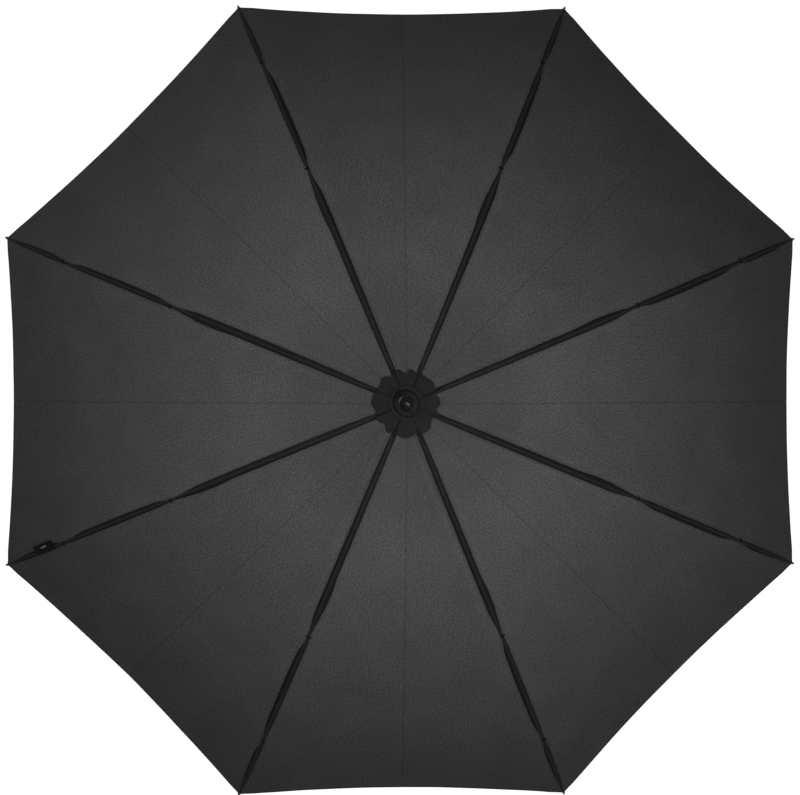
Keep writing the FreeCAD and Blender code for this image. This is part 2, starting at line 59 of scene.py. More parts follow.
# ---- the frame's geometry -------------------------------------------------------------------------
JOINTS = {joint["name"]: joint for joint in frame["joints"]}
RIBS = 8
HALF_STEP = math.pi / RIBS
NOTCH = Vector(JOINTS["rib_fold_1"]["pos_m"])
PIVOT_R = math.hypot(NOTCH.x, NOTCH.y)
NOTCH_Z = NOTCH.z
RIB_ARC_R = 1.162
SLOPE_HUB = math.radians(8.0)
SLOPE_TIP = math.radians(43.0)
ARC_R = PIVOT_R - RIB_ARC_R * math.sin(SLOPE_HUB)
ARC_Z = NOTCH_Z - RIB_ARC_R * math.cos(SLOPE_HUB)
TIP_R = max(abs(corner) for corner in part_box("rib_tip_1")[1][:2]) / math.cos(HALF_STEP)
COLLAR_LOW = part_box("ferrule_collar")[0]

# ---- cloth ----------------------------------------------------------------------------------------
CLOTH = 0.45 * MM
PANEL_LIFT = 3.4 * MM           # underside of the gores above the rib's centre line
STRIP_LIFT = 2.5 * MM
STRIP_HALF = 11.0 * MM
STRIP_DROP = 1.0 * MM           # how far the strip falls beside the rib that it lies on
NOTCH_RISE = 3.3 * MM           # and how far it is lifted over the notch
GORE_SAG = 14.0 * MM
HEM_DIP = 19.0 * MM
PANEL_INNER_R = 20.0 * MM
HEM_WIDTH = 6.5 * MM
EDGE_HEM = 3.0 * MM
EDGE_DROP = 1.3 * MM            # how far the gores' edges settle down onto the strip
EDGE_REACH = 12.0 * MM
HEM_STEP = 0.22 * MM            # extra thickness of a turned hem
STITCH_PITCH = 3.4 * MM
# distances in mm from the edge where the hemmed cloth has lines of points, and the line that is sewn
SIDE_HEM_LINES = (6.0, 3.0, 2.7, 2.3, 1.9, 1.5, 0.9, 0.3, 0.0)
SIDE_HEM_SEAM = 1.9
RIM_HEM_LINES = (9.0, 6.5, 6.1, 5.6, 5.0, 4.6, 4.2, 2.5, 1.0, 0.35, 0.0)
RIM_HEM_SEAM = 4.6
TACKS = (0.550, 0.827)          # where the gores are tied to the rib, as shares of the tip radius
CLOTH_SEED = 11

# folds that only one place has; a half gore is its number and the side of its crease
CREASED_HALF = (4, -1)          # a second crease by the hub
CREASE_SLANT = 0.16
CREASE_START = 2.0 * MM         # its distance from the middle of the gore, at the hub
CREASE_DEPTH = 0.6 * MM
CREASE_HALF_WIDTH = 0.9 * MM
WRINKLED_HALF = (5, 1)          # wrinkles near rib 6's tip
WRINKLE_PITCH = 17.0 * MM
WRINKLE_HEIGHT = 1.3 * MM
WRINKLE_SHARE = 0.85            # their place along the rib
WRINKLE_INSET = 24.0 * MM       # and from the slit
WRINKLE_REACH = 15.0 * MM

# open width on either side of a rib in mm, against the share of the tip radius: the gore to the left,
# looking outwards, runs almost straight; the one to the right is scalloped between its ties
SLIT_LEFT = ((0.0, 1.2), (0.035, 1.6), (0.075, 4.4), (0.2, 5.0), (0.40, 5.4), (0.450, 7.4), (0.487, 7.0),
             (0.502, 5.6), (0.546, 2.9), (0.556, 2.9), (0.580, 4.2), (0.78, 4.3), (0.826, 3.2), (0.86, 4.4),
             (0.93, 3.6), (1.0, 1.2))
SLIT_RIGHT = ((0.0, 1.2), (0.035, 1.6), (0.075, 4.4), (0.2, 5.4), (0.40, 5.8), (0.485, 5.6), (0.544, 1.9),
              (0.557, 1.9), (0.603, 6.2), (0.68, 6.9), (0.775, 6.3), (0.822, 1.9), (0.832, 1.9), (0.868, 5.2),
              (0.905, 5.0), (1.0, 1.2))

LABEL_RIB = 5
LABEL_LENGTH = 41.0 * MM
LABEL_WIDTH = 11.5 * MM
LABEL_SHARE = 0.879             # its distance from the hub, as a share of the tip radius
LABEL_OFFSET = 5.0 * MM         # from the rib, towards rib 4
LABEL_LIFT = 4.9 * MM
OVAL_LENGTH = 15.0 * MM         # the plain oval on the label
OVAL_WIDTH = 3.6 * MM
OVAL_STITCHES = 27
STRAP_WIDTH = 20.0 * MM
STRAP_THICK = 1.2 * MM
STRAP_ROLL_R = 1.5 * MM
STRAP_BOW = 1.6 * MM
PAD_LENGTH = 45.0 * MM
PAD_THICK = 0.8 * MM

OPENING_COIL = (4.8 * MM, 0.8 * MM, 44)     # coil radius, wire radius and turns
BUTTON_COIL = (1.8 * MM, 0.25 * MM, 5)

ROSETTE_R = 48.0 * MM
ROSETTE_INNER_R = 16.0 * MM
ROSETTE_FLAT_R = 18.5 * MM
ROSETTE_LOBES = 11
ROSETTE_FOLD = 1.2 * MM


# ---- geometry helpers -----------------------------------------------------------------------------
def smooth(low, high, value):
    t = min(max((value - low) / (high - low), 0.0), 1.0)
    return t * t * (3 - 2 * t)


def along_points(points, value):
    """Smooth interpolation through (place, size) pairs."""
    for (x0, y0), (x1, y1) in zip(points, points[1:]):
        if value <= x1:
            return y0 + (y1 - y0) * smooth(x0, x1, value)
    return points[-1][1]


def azimuth_of(rib):
    pos = JOINTS["rib_fold_%d" % ((rib - 1) % RIBS + 1)]["pos_m"]
    return math.atan2(pos[1], pos[0])


def turned(point, azimuth):
    c, s = math.cos(azimuth), math.sin(azimuth)
    return Vector((point[0] * c - point[1] * s, point[0] * s + point[1] * c, point[2]))


def on_arc(slope, lift=0.0):
    """(distance from the axis, height) on a rib's arc where it slopes by this much."""
    reach = RIB_ARC_R + lift
    return ARC_R + reach * math.sin(slope), ARC_Z + reach * math.cos(slope)


def slope_at(radius):
    return math.asin((radius - ARC_R) / RIB_ARC_R)


def gore_point(slope, share, lift):
    """Point of a gore about +X; share runs from -1 at one rib to 1 at the next."""
    whole = min(max((slope - SLOPE_HUB) / (SLOPE_TIP - SLOPE_HUB), 0.0), 1.0)
    bow = 1 - share * share
    slope = slope - HEM_DIP / RIB_ARC_R * bow * whole ** 4
    radius, height = on_arc(slope, lift)
    drawn = GORE_SAG * math.sin(math.pi * whole) * bow
    outward = radius * math.cos(HALF_STEP) - drawn * math.sin(slope)
    return Vector((outward, share * radius * math.sin(HALF_STEP), height - drawn * math.cos(slope)))


def slit_half(radius, rib, side):
    """Open width at one side of a rib; it differs a little from rib to rib."""
    share = radius / TIP_R
    rng = random.Random(CLOTH_SEED + 10 * rib + side)
    share += 0.005 * rng.uniform(-1, 1) * smooth(0.3, 0.5, share) * smooth(1.0, 0.95, share)
    width = along_points(SLIT_LEFT if side < 0 else SLIT_RIGHT, share) * MM
    swell = rng.uniform(-0.14, 0.14) * math.sin(math.pi * (share * 2.2 + rng.random()))
    return width * (1 + swell)


def new_object(name, verts, faces, materials, smooth_angle=math.radians(35)):
    mesh = bpy.data.meshes.new(name)
    mesh.from_pydata([tuple(v) for v in verts], [], faces)
    for material in materials:
        mesh.materials.append(material)
    mesh.polygons.foreach_set("use_smooth", [True] * len(mesh.polygons))
    mesh.set_sharp_from_angle(angle=smooth_angle)
    mesh.update()
    obj = bpy.data.objects.new(name, mesh)
    bpy.context.scene.collection.objects.link(obj)
    return obj


def set_uvs(obj, uvs):
    layer = obj.data.uv_layers.new(name="UVMap")
    for loop in obj.data.loops:
        layer.data[loop.index].uv = uvs[loop.vertex_index]


def shell_faces(rows, cols):
    """Faces of a closed thin shell whose vertices are a top grid, then a bottom grid."""
    under = rows * cols
    faces = []
    for i in range(rows - 1):
        for j in range(cols - 1):
            a, b = i * cols + j, i * cols + j + 1
            c, d = (i + 1) * cols + j + 1, (i + 1) * cols + j
            faces.append((a, b, c, d))
            faces.append((a + under, d + under, c + under, b + under))
    rim = [j for j in range(cols)]
    rim += [i * cols + cols - 1 for i in range(1, rows)]
    rim += [(rows - 1) * cols + j for j in range(cols - 2, -1, -1)]
    rim += [i * cols for i in range(rows - 2, 0, -1)]
    for a, b in zip(rim, rim[1:] + rim[:1]):
        faces.append((a, a + under, b + under, b))
    return faces


def face_up(faces, verts):
    """The faces, turned over if the first one looks down."""
    a, b, c = (verts[k] for k in faces[0][:3])
    if (b - a).cross(c - a).z < 0:
        return [tuple(reversed(face)) for face in faces]
    return faces


def stitch(verts, faces, uvs, centre, along, normal, length=2.3 * MM, width=0.5 * MM, high=0.22 * MM):
    """One sewn stitch: a small bar, rounded by its narrower top, added to a mesh under way."""
    across = normal.cross(along).normalized()
    base = len(verts)
    for level, half_l, half_w in ((-0.1 * MM, length / 2, width / 2), (high, length / 2.6, width / 4)):
        for sx, sy in ((-1, -1), (1, -1), (1, 1), (-1, 1)):
            verts.append(centre + along * (sx * half_l) + across * (sy * half_w) + normal * level)
            uvs.append((0.0, 0.0))
    for k in range(4):
        nxt = (k + 1) % 4
        faces.append((base + k, base + nxt, base + 4 + nxt, base + 4 + k))
    faces.append((base + 4, base + 5, base + 6, base + 7))
    faces.append((base + 3, base + 2, base + 1, base))


# ---- materials ------------------------------------------------------------------------------------
class Finish:
    """A node material under way: short names for the few nodes that every finish here needs."""

    def __init__(self, name, roughness, metallic=0.0, specular=0.5, sheen=0.0, coat=0.0):
        self.material = bpy.data.materials.new(name)
        self.material.use_nodes = True
        self.tree = self.material.node_tree
        self.shader = self.tree.nodes["Principled BSDF"]
        self.shader.inputs["Roughness"].default_value = roughness
        self.shader.inputs["Metallic"].default_value = metallic
        self.shader.inputs["Specular IOR Level"].default_value = specular
        self.shader.inputs["Sheen Weight"].default_value = sheen
        self.shader.inputs["Sheen Roughness"].default_value = 0.45
        self.shader.inputs["Coat Weight"].default_value = coat
        self.shader.inputs["Coat Roughness"].default_value = 0.12

    def node(self, kind, **inputs):
        made = self.tree.nodes.new("ShaderNode" + kind)
        for name, value in inputs.items():
            socket = made.inputs[name.replace("_", " ")]
            if isinstance(value, bpy.types.NodeSocket):
                self.tree.links.new(value, socket)
            else:
                socket.default_value = value
        return made

    def link(self, source, target):
        self.tree.links.new(source, target)

    def coordinates(self, kind="Object"):
        return self.node("TexCoord").outputs[kind]

    def noise(self, vector, scale, detail=2.0, rough=0.5):
        made = self.node("TexNoise", Vector=vector, Scale=scale, Detail=detail, Roughness=rough)
        return made.outputs["Fac"]

    def maths(self, operation, first, second=0.0):
        made = self.tree.nodes.new("ShaderNodeMath")
        made.operation = operation
        for socket, value in zip(made.inputs, (first, second)):
            if isinstance(value, bpy.types.NodeSocket):
                self.link(value, socket)
            else:
                socket.default_value = value
        return made.outputs[0]

    def product(self, *factors):
        total = factors[0]
        for factor in factors[1:]:
            total = self.maths("MULTIPLY", total, factor)
        return total

    def spread(self, value, low, high, to_low, to_high):
        """Value moved from one range to another, held at its ends."""
        made = self.node("MapRange", Value=value)
        ends = {"From Min": low, "From Max": high, "To Min": to_low, "To Max": to_high}
        for name, number in ends.items():
            made.inputs[name].default_value = number
        return made.outputs["Result"]

    def tint(self, colour, factor):
        """Base colour times a varying factor."""
        made = self.tree.nodes.new("ShaderNodeVectorMath")
        made.operation = "SCALE"
        made.inputs[0].default_value = colour
        self.link(factor, made.inputs["Scale"])
        self.link(made.outputs[0], self.shader.inputs["Base Color"])

    def bump(self, height, distance, strength=1.0):
        made = self.node("Bump", Height=height)
        made.inputs["Distance"].default_value = distance
        made.inputs["Strength"].default_value = strength
        self.link(made.outputs["Normal"], self.shader.inputs["Normal"])

    def vary_roughness(self, value, low, high):
        self.link(self.spread(value, 0.3, 0.7, low, high), self.shader.inputs["Roughness"])


def weave(finish, vector, period):
    """Plain weave: warp and weft crossing over and under, from 0 to 1."""
    split = finish.node("SeparateXYZ", Vector=vector)
    turns = 2 * math.pi / period
    warp = finish.maths("SINE", finish.maths("MULTIPLY", split.outputs["X"], turns))
    weft = finish.maths("SINE", finish.maths("MULTIPLY", split.outputs["Y"], turns))
    return finish.maths("MULTIPLY_ADD", finish.maths("MULTIPLY", warp, weft), 0.5), split


def cloth_material(name, colour, period=0.7 * MM, canopy=False, highlight_v=None, specular=0.1):
    """Closely woven cloth: fine grain and faint mottle. The canopy's also has painted shade: a dark line along
    its pressed creases, and colour painted darker near the hub and towards the rim, so that it is palest
    between them. A cover strip has a painted highlight along its ridge, the line where its UV's second value
    is that given."""
    made = Finish(name, 0.65, specular=specular)
    uv = made.coordinates("UV")
    threads, split = weave(made, uv, period)
    from_hub, across = split.outputs["X"], split.outputs["Y"]
    grain = made.noise(uv, 380.0, 3.0, 0.7)
    mottle = made.noise(uv, 16.0, 3.0, 0.55)
    streak_at = made.node("CombineXYZ", X=made.maths("MULTIPLY", from_hub, 9.0), Y=across)
    streaks = made.noise(streak_at.outputs["Vector"], 55.0, 2.0)
    factor = made.product(made.spread(grain, 0.35, 0.65, 0.55, 1.45),
                          made.spread(mottle, 0.3, 0.7, 0.93, 1.07),
                          made.spread(streaks, 0.3, 0.7, 0.95, 1.05),
                          made.spread(threads, 0.0, 1.0, 0.86, 1.1))
    if canopy:
        # painted shade: the colour is darkened in a narrow line along the pressed crease
        crease_shade = made.spread(made.maths("ABSOLUTE", across), 0.2 * MM, 0.9 * MM, 0.66, 1.0)
        # painted shade: the cloth's colour is darkened near the hub and towards the rim, standing in for the light
        # falling off there
        painted_hub_shade = made.spread(from_hub, 50 * MM, 230 * MM, 0.64, 1.0)
        painted_rim_shade = made.spread(from_hub, 200 * MM, 650 * MM, 1.0, 0.60)
        factor = made.product(factor, crease_shade, painted_hub_shade, painted_rim_shade)
    if highlight_v is not None:
        # painted highlight: the strip's colour is lighter along its ridge and darker beside it
        offset = made.maths("ABSOLUTE", made.maths("SUBTRACT", across, highlight_v))
        factor = made.product(factor, made.spread(offset, 0.8 * MM, 3.2 * MM, 1.9, 0.8))
    made.tint(colour, factor)
    made.vary_roughness(grain, 0.59, 0.73)
    height = made.maths("ADD", threads, made.maths("MULTIPLY", grain, 1.4))
    made.bump(height, 0.06 * MM, 0.7)
    return made.material


def webbing_material(name, colour):
    """Ribbed narrow webbing: strong cross ribs and fine threads."""
    made = Finish(name, 0.7, specular=0.3, sheen=0.3)
    uv = made.coordinates("UV")
    threads, split = weave(made, uv, 1.1 * MM)
    ribs = made.maths("SINE", made.maths("MULTIPLY", split.outputs["X"], 2 * math.pi / (1.6 * MM)))
    fuzz = made.noise(uv, 900.0, 3.0)
    made.tint(colour, made.product(made.spread(ribs, -1.0, 1.0, 0.75, 1.15),
                                   made.spread(fuzz, 0.3, 0.7, 0.85, 1.15)))
    made.bump(made.maths("ADD", made.maths("MULTIPLY", ribs, 0.6), threads), 0.15 * MM)
    return made.material


def moulded_material(name, colour, roughness, specular=0.45, coat=0.0, wear=0.0):
    """Moulded plastic: fine texture, slight colour drift, rougher patches and paler worn edges."""
    made = Finish(name, roughness, specular=specular, coat=coat)
    place = made.coordinates()
    fine = made.noise(place, 900.0, 3.0, 0.6)
    broad = made.noise(place, 35.0, 3.0, 0.6)
    factor = made.product(made.spread(fine, 0.3, 0.7, 0.9, 1.1), made.spread(broad, 0.3, 0.7, 0.9, 1.12))
    if wear:
        edges = made.node("NewGeometry").outputs["Pointiness"]
        factor = made.maths("ADD", factor, made.spread(edges, 0.52, 0.6, 0.0, wear))
    made.tint(colour, factor)
    made.vary_roughness(broad, roughness - 0.05, roughness + 0.08)
    made.bump(fine, 0.03 * MM, 0.6)
    return made.material


def drawn_material(name, colour, roughness, metallic, stretch=(1.0, 1.0, 0.04), coat=0.0):
    """Drawn or brushed stock: streaks along the part, over a faint broad drift."""
    made = Finish(name, roughness, metallic=metallic, coat=coat)
    place = made.node("Mapping", Vector=made.coordinates())
    place.inputs["Scale"].default_value = stretch
    streaks = made.noise(place.outputs["Vector"], 1400.0, 3.0, 0.6)
    broad = made.noise(made.coordinates(), 22.0, 2.0)
    made.tint(colour, made.product(made.spread(streaks, 0.3, 0.7, 0.88, 1.12),
                                   made.spread(broad, 0.3, 0.7, 0.9, 1.1)))
    made.vary_roughness(streaks, roughness - 0.06, roughness + 0.1)
    made.bump(streaks, 0.015 * MM, 0.5)
    return made.material


def foam_material(name, colour):
    """Closed-cell grip foam: fine pores under a soft skin."""
    made = Finish(name, 0.86, specular=0.22, sheen=0.12)
    place = made.coordinates()
    pores = made.node("TexVoronoi", Vector=place, Scale=1500.0).outputs["Distance"]
    lumps = made.noise(place, 160.0, 3.0, 0.6)
    made.tint(colour, made.product(made.spread(pores, 0.0, 0.6, 0.7, 1.15),
                                   made.spread(lumps, 0.3, 0.7, 0.9, 1.1)))
    made.bump(made.maths("ADD", pores, made.maths("MULTIPLY", lumps, 0.7)), 0.12 * MM, 0.8)
    return made.material


def thread_material(name, colour, specular=0.2):
    made = Finish(name, 0.6, specular=specular)
    place = made.coordinates()
    twist = made.noise(place, 2600.0, 2.0)
    made.tint(colour, made.spread(twist, 0.3, 0.7, 0.75, 1.25))
    made.bump(twist, 0.05 * MM)
    return made.material


# the cover strips' painted highlight runs along this UV value
STRIP_RIDGE_V = 0.1             # UV value along a cover strip's ridge
CLOTH_FINISH = cloth_material("canopy_pongee", (0.0290, 0.0290, 0.0290), canopy=True)
STRIP_FINISH = cloth_material("strip_cloth", (0.0040, 0.0040, 0.0041), highlight_v=STRIP_RIDGE_V, specular=0.06)
ROSETTE_FINISH = cloth_material("rosette_cloth", (0.0042, 0.0042, 0.0044), specular=0.05)
LABEL_FINISH = cloth_material("label_satin", (0.0020, 0.0020, 0.0021), period=0.45 * MM, specular=0.06)
THREAD = thread_material("sewing_thread", (0.0022, 0.0022, 0.0023), specular=0.05)
PALE_THREAD = thread_material("pale_thread", (0.045, 0.045, 0.046))
WEBBING = webbing_material("strap_webbing", (0.018, 0.018, 0.019))
SPRING_STEEL = drawn_material("spring_steel", (0.48, 0.48, 0.49), 0.3, 1.0, stretch=(1.0, 1.0, 1.0))
HOOK_PAD = thread_material("fastener_hooks", (0.010, 0.010, 0.011))


# ---- canopy ---------------------------------------------------------------------------------------
def cloth_waves(place):
    """Slow unevenness of stretched cloth, the same on both halves of a gore."""
    slow = noise.noise(place * 9.0 + Vector((3.1, 7.7, 1.9)))
    quick = noise.noise(place * 26.0 + Vector((5.3, 0.4, 8.8)))
    return 1.1 * MM * slow + 0.35 * MM * quick


def tack_puckers(along, off):
    """Small folds that fan out from the ties and from the gore's corner; along and off in metres."""
    total = 0.0
    for place, reach, height in PUCKERS:
        away = math.hypot(along - place, off)
        if away < 4 * reach:
            turn = math.atan2(off, along - place)
            total += height * math.exp(-away / reach) * math.cos(turn * 9) * smooth(0.0, 8 * MM, away)
    return total


def stray_folds(gore, side, along, off, from_edge):
    """Height of the second crease and of the wrinkles, where this half gore has them."""
    if (gore, side) == CREASED_HALF:
        apart = (off - CREASE_SLANT * along + CREASE_START) / CREASE_HALF_WIDTH
        return -CREASE_DEPTH * math.exp(-apart ** 2) * smooth(125 * MM, 95 * MM, along)
    if (gore, side) == WRINKLED_HALF:
        place = (along - WRINKLE_SHARE * rib_length(SLOPE_TIP) + 0.5 * from_edge) / WRINKLE_PITCH
        inset = (from_edge - WRINKLE_INSET) / WRINKLE_REACH
        return WRINKLE_HEIGHT * math.sin(2 * math.pi * place) * math.exp(-(place / 2.6) ** 2 - inset ** 2)
    return 0.0


def rib_length(slope):
    return RIB_ARC_R * (slope - SLOPE_HUB)


# where folds fan out: distance along the rib, reach and height
PUCKERS = [(rib_length(slope_at(TACKS[0] * TIP_R)), 26 * MM, 0.8 * MM),
           (rib_length(slope_at(TACKS[1] * TIP_R)), 22 * MM, 0.8 * MM),
           (rib_length(SLOPE_TIP), 34 * MM, 0.9 * MM)]


def spaced(low, high, count):
    return [low + (high - low) * k / count for k in range(count + 1)]


def along_rows():
    """Slopes of a gore's rows: even, then close together through the hem."""
    even = spaced(slope_at(PANEL_INNER_R), SLOPE_TIP - 14 * MM / RIB_ARC_R, 84)
    return even + [SLOPE_TIP - distance * MM / RIB_ARC_R for distance in RIM_HEM_LINES]


def across_places(width):
    """Distances from the crease out to the slit's edge for one row of a half gore."""
    near = min(1.0, width / (24 * MM))
    inner = [0.0, 0.5 * MM * near, 1.4 * MM * near, 3.5 * MM * near]
    outer = [width - distance * MM * near for distance in SIDE_HEM_LINES]
    middle = spaced(inner[-1], outer[0], 17)
    return inner[:-1] + middle + outer[1:]


def hem_step(distance, width):
    """Extra thickness of the turned hem at a distance from the edge, with a groove under its stitches."""
    if distance > width:
        return 0.0
    groove = 0.10 * MM * math.exp(-((distance - width * 0.7) / (0.6 * MM)) ** 2)
    rolled = HEM_STEP * smooth(1.1 * MM, 0.0, distance)
    return HEM_STEP * smooth(width, width - 0.8 * MM, distance) - groove - rolled


def half_gore(gore, side):
    """Half of a gore, from its pressed crease to the slit over one rib."""
    rib = gore if side < 0 else gore % RIBS + 1
    middle = azimuth_of(gore) + HALF_STEP
    rows = along_rows()
    top, under, uvs, edge_line, hem_line = [], [], [], [], []
    for slope in rows:
        radius = on_arc(slope)[0]
        whole = radius * math.sin(HALF_STEP)
        width = whole - slit_half(radius, rib, side) / math.cos(HALF_STEP)
        from_rim = (SLOPE_TIP - slope) * RIB_ARC_R
        for off in across_places(width):
            share = side * off / whole
            from_edge = width - off
            base = gore_point(slope, share, PANEL_LIFT)
            calm = smooth(0.0, 30 * MM, from_edge) * smooth(0.0, 20 * MM, radius - 30 * MM)
            wave = cloth_waves(turned(base, middle)) * calm
            wave += tack_puckers(rib_length(slope), from_edge) * smooth(0.0, 5 * MM, from_edge)
            wave -= 0.30 * MM * math.exp(-(off / (1.1 * MM)) ** 2)
            wave += stray_folds(gore, side, rib_length(slope), off, from_edge)
            wave -= EDGE_DROP * smooth(EDGE_REACH, 4 * MM, from_edge) * smooth(30 * MM, 40 * MM, radius)
            raised = wave + CLOTH + max(hem_step(from_edge, EDGE_HEM), hem_step(from_rim, HEM_WIDTH))
            top.append(turned(gore_point(slope, share, PANEL_LIFT + raised), middle))
            under.append(turned(gore_point(slope, share, PANEL_LIFT + wave), middle))
            uvs.append((rib_length(slope), side * off))
    cols = len(top) // len(rows)
    verts = top + under
    faces = shell_faces(len(rows), cols)
    faces = face_up(faces, verts)
    uvs = uvs + uvs
    cloth_faces = len(faces)
    sew(verts, faces, uvs, top, len(rows), cols)
    letter = "a" if side < 0 else "b"
    piece = new_object("gore_%d%s" % (gore, letter), verts, faces, [CLOTH_FINISH, THREAD])
    set_uvs(piece, uvs)
    for polygon in piece.data.polygons[cloth_faces:]:
        polygon.material_index = 1
    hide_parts("canopy_panel_%d" % gore)
    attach(piece, "rib_arm_%d" % rib)
    pleat(piece)
    return piece


def sew(verts, faces, uvs, top, rows, cols):
    """Stitches along the slit's hem and along the outer hem, at the grooves in the cloth."""
    edge_col = cols - len(SIDE_HEM_LINES) + SIDE_HEM_LINES.index(SIDE_HEM_SEAM)
    hem_row = rows - len(RIM_HEM_LINES) + RIM_HEM_LINES.index(RIM_HEM_SEAM)
    sewn_rows = range(10, rows - 4)
    sewn_cols = range(3, cols - 4)
    lines = [[top[i * cols + edge_col] for i in sewn_rows], [top[hem_row * cols + j] for j in sewn_cols]]
    inward = [[top[i * cols + edge_col - 1] for i in sewn_rows],
              [top[(hem_row - 1) * cols + j] for j in sewn_cols]]
    for line, other in zip(lines, inward):
        carried = STITCH_PITCH / 2
        for (a, b), side in zip(zip(line, line[1:]), other):
            span = b - a
            length = span.length
            along = span / length
            normal = along.cross(side - a).normalized()
            if normal.z < 0:
                normal = -normal
            while carried < length:
                stitch(verts, faces, uvs, a + along * carried, along, normal)
                carried += STITCH_PITCH
            carried -= length


def pleat(piece):
    """Gives a cloth piece a mesh of its own."""
    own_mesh(piece)


def hub_rise(radius):
    """How far the cloth over the ribs is lifted where it passes over the notch."""
    return NOTCH_RISE * smooth(30 * MM, 18.5 * MM, radius)


def tie_threads(verts, faces, uvs, rib):
    """Short threads that tie both gores to the rib where the slit closes."""
    azimuth = azimuth_of(rib)
    across = Vector((-math.sin(azimuth), math.cos(azimuth), 0))
    rng = random.Random(CLOTH_SEED + 50 * rib)
    for tack in TACKS:
        for strand in range(4):
            slope = slope_at(tack * TIP_R) + (strand - 1.5) * 0.6 * MM / RIB_ARC_R
            height = PANEL_LIFT + CLOTH + 0.7 * MM
            side_by = rng.uniform(0.6, 1.6) * MM
            centre = turned((on_arc(slope, height)[0], side_by, on_arc(slope, height)[1]), azimuth)
            lean = rng.uniform(-0.12, 0.12)
            along = (across + Vector((math.cos(azimuth), math.sin(azimuth), 0)) * lean).normalized()
            normal = turned((math.sin(slope), 0, math.cos(slope)), azimuth)
            length = rng.uniform(6.5, 8.5) * MM
            stitch(verts, faces, uvs, centre, along, normal, length=length, width=0.55 * MM, high=0.45 * MM)


def cover_strip(rib):
    """Dark cloth strip over a rib, seen through the slits, with the rib showing as a low ridge."""
    azimuth = azimuth_of(rib)
    first = slope_at(18.6 * MM)
    rows = spaced(first, SLOPE_TIP - 0.9 * MM / RIB_ARC_R, 110)
    right = (0.5, 0.9, 1.3, 1.8, 2.4, 3.4, 5.0, 7.0, 9.0, 11.0)
    places = [-place for place in reversed(right)] + [0.0] + list(right)
    top, under, uvs = [], [], []
    for slope in rows:
        radius = on_arc(slope)[0]
        from_tip = (SLOPE_TIP - slope) * RIB_ARC_R
        room = min(1.0, radius * math.sin(HALF_STEP) * 0.72 / STRIP_HALF, 0.35 + from_tip / (60 * MM))
        for place in places:
            off = place * MM * room
            side = 1 if off < 0 else -1
            share = side * (1 - abs(off) / (radius * math.sin(HALF_STEP) * math.cos(HALF_STEP)))
            lift = STRIP_LIFT - STRIP_DROP * smooth(0.7 * MM, 2.3 * MM, abs(off)) + hub_rise(radius)
            for layer, store in ((CLOTH, top), (0.0, under)):
                store.append(turned(gore_point(slope, share, lift + layer), azimuth - side * HALF_STEP))
            # near the hub the painted highlight is moved off the ridge, so that the strip stays dark there
            off_highlight = off + 4 * MM * smooth(60 * MM, 46 * MM, radius)
            uvs.append((rib_length(slope), STRIP_RIDGE_V + off_highlight))
    cols = len(places)
    verts = top + under
    faces = face_up(shell_faces(len(rows), cols), verts)
    uvs = uvs + uvs
    cloth_faces = len(faces)
    tie_threads(verts, faces, uvs, rib)
    piece = new_object("cover_strip_%d" % rib, verts, faces, [STRIP_FINISH, THREAD])
    set_uvs(piece, uvs)
    for polygon in piece.data.polygons[cloth_faces:]:
        polygon.material_index = 1
    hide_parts("canopy_panel_%d" % rib)
    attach(piece, "rib_arm_%d" % rib)
    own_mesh(piece)


def rosette_height(radius, turn):
    """Height of the rosette's underside; turn is the angle from the nearer rib."""
    flat = COLLAR_LOW.z - 0.75 * MM
    reach = radius * math.cos(HALF_STEP - abs(turn)) / math.cos(HALF_STEP)
    slope = slope_at(max(reach, PANEL_INNER_R * 0.9))
    over = on_arc(slope)[1] + (PANEL_LIFT + CLOTH + 1.0 * MM) / math.cos(slope)
    return over + (flat - over) * smooth(29 * MM, ROSETTE_FLAT_R, radius)


def rosette_edge(azimuth):
    """Edge radius of the scalloped rosette; its lobes are uneven in width and depth."""
    warped = azimuth + 0.12 * math.sin(3 * azimuth + 0.7) + 0.06 * math.sin(7 * azimuth + 2.1)
    lobe = 0.5 + 0.5 * math.sin(warped * ROSETTE_LOBES)
    uneven = noise.noise(Vector((math.cos(azimuth) * 2.3, math.sin(azimuth) * 2.3, 4.2)))
    depth = (4.6 + 2.0 * math.sin(4 * azimuth + 1.1) * math.sin(azimuth + 0.3)) * MM
    return ROSETTE_R - 1.2 * MM - depth * (1 - lobe) ** 1.4 + 2.6 * MM * uneven


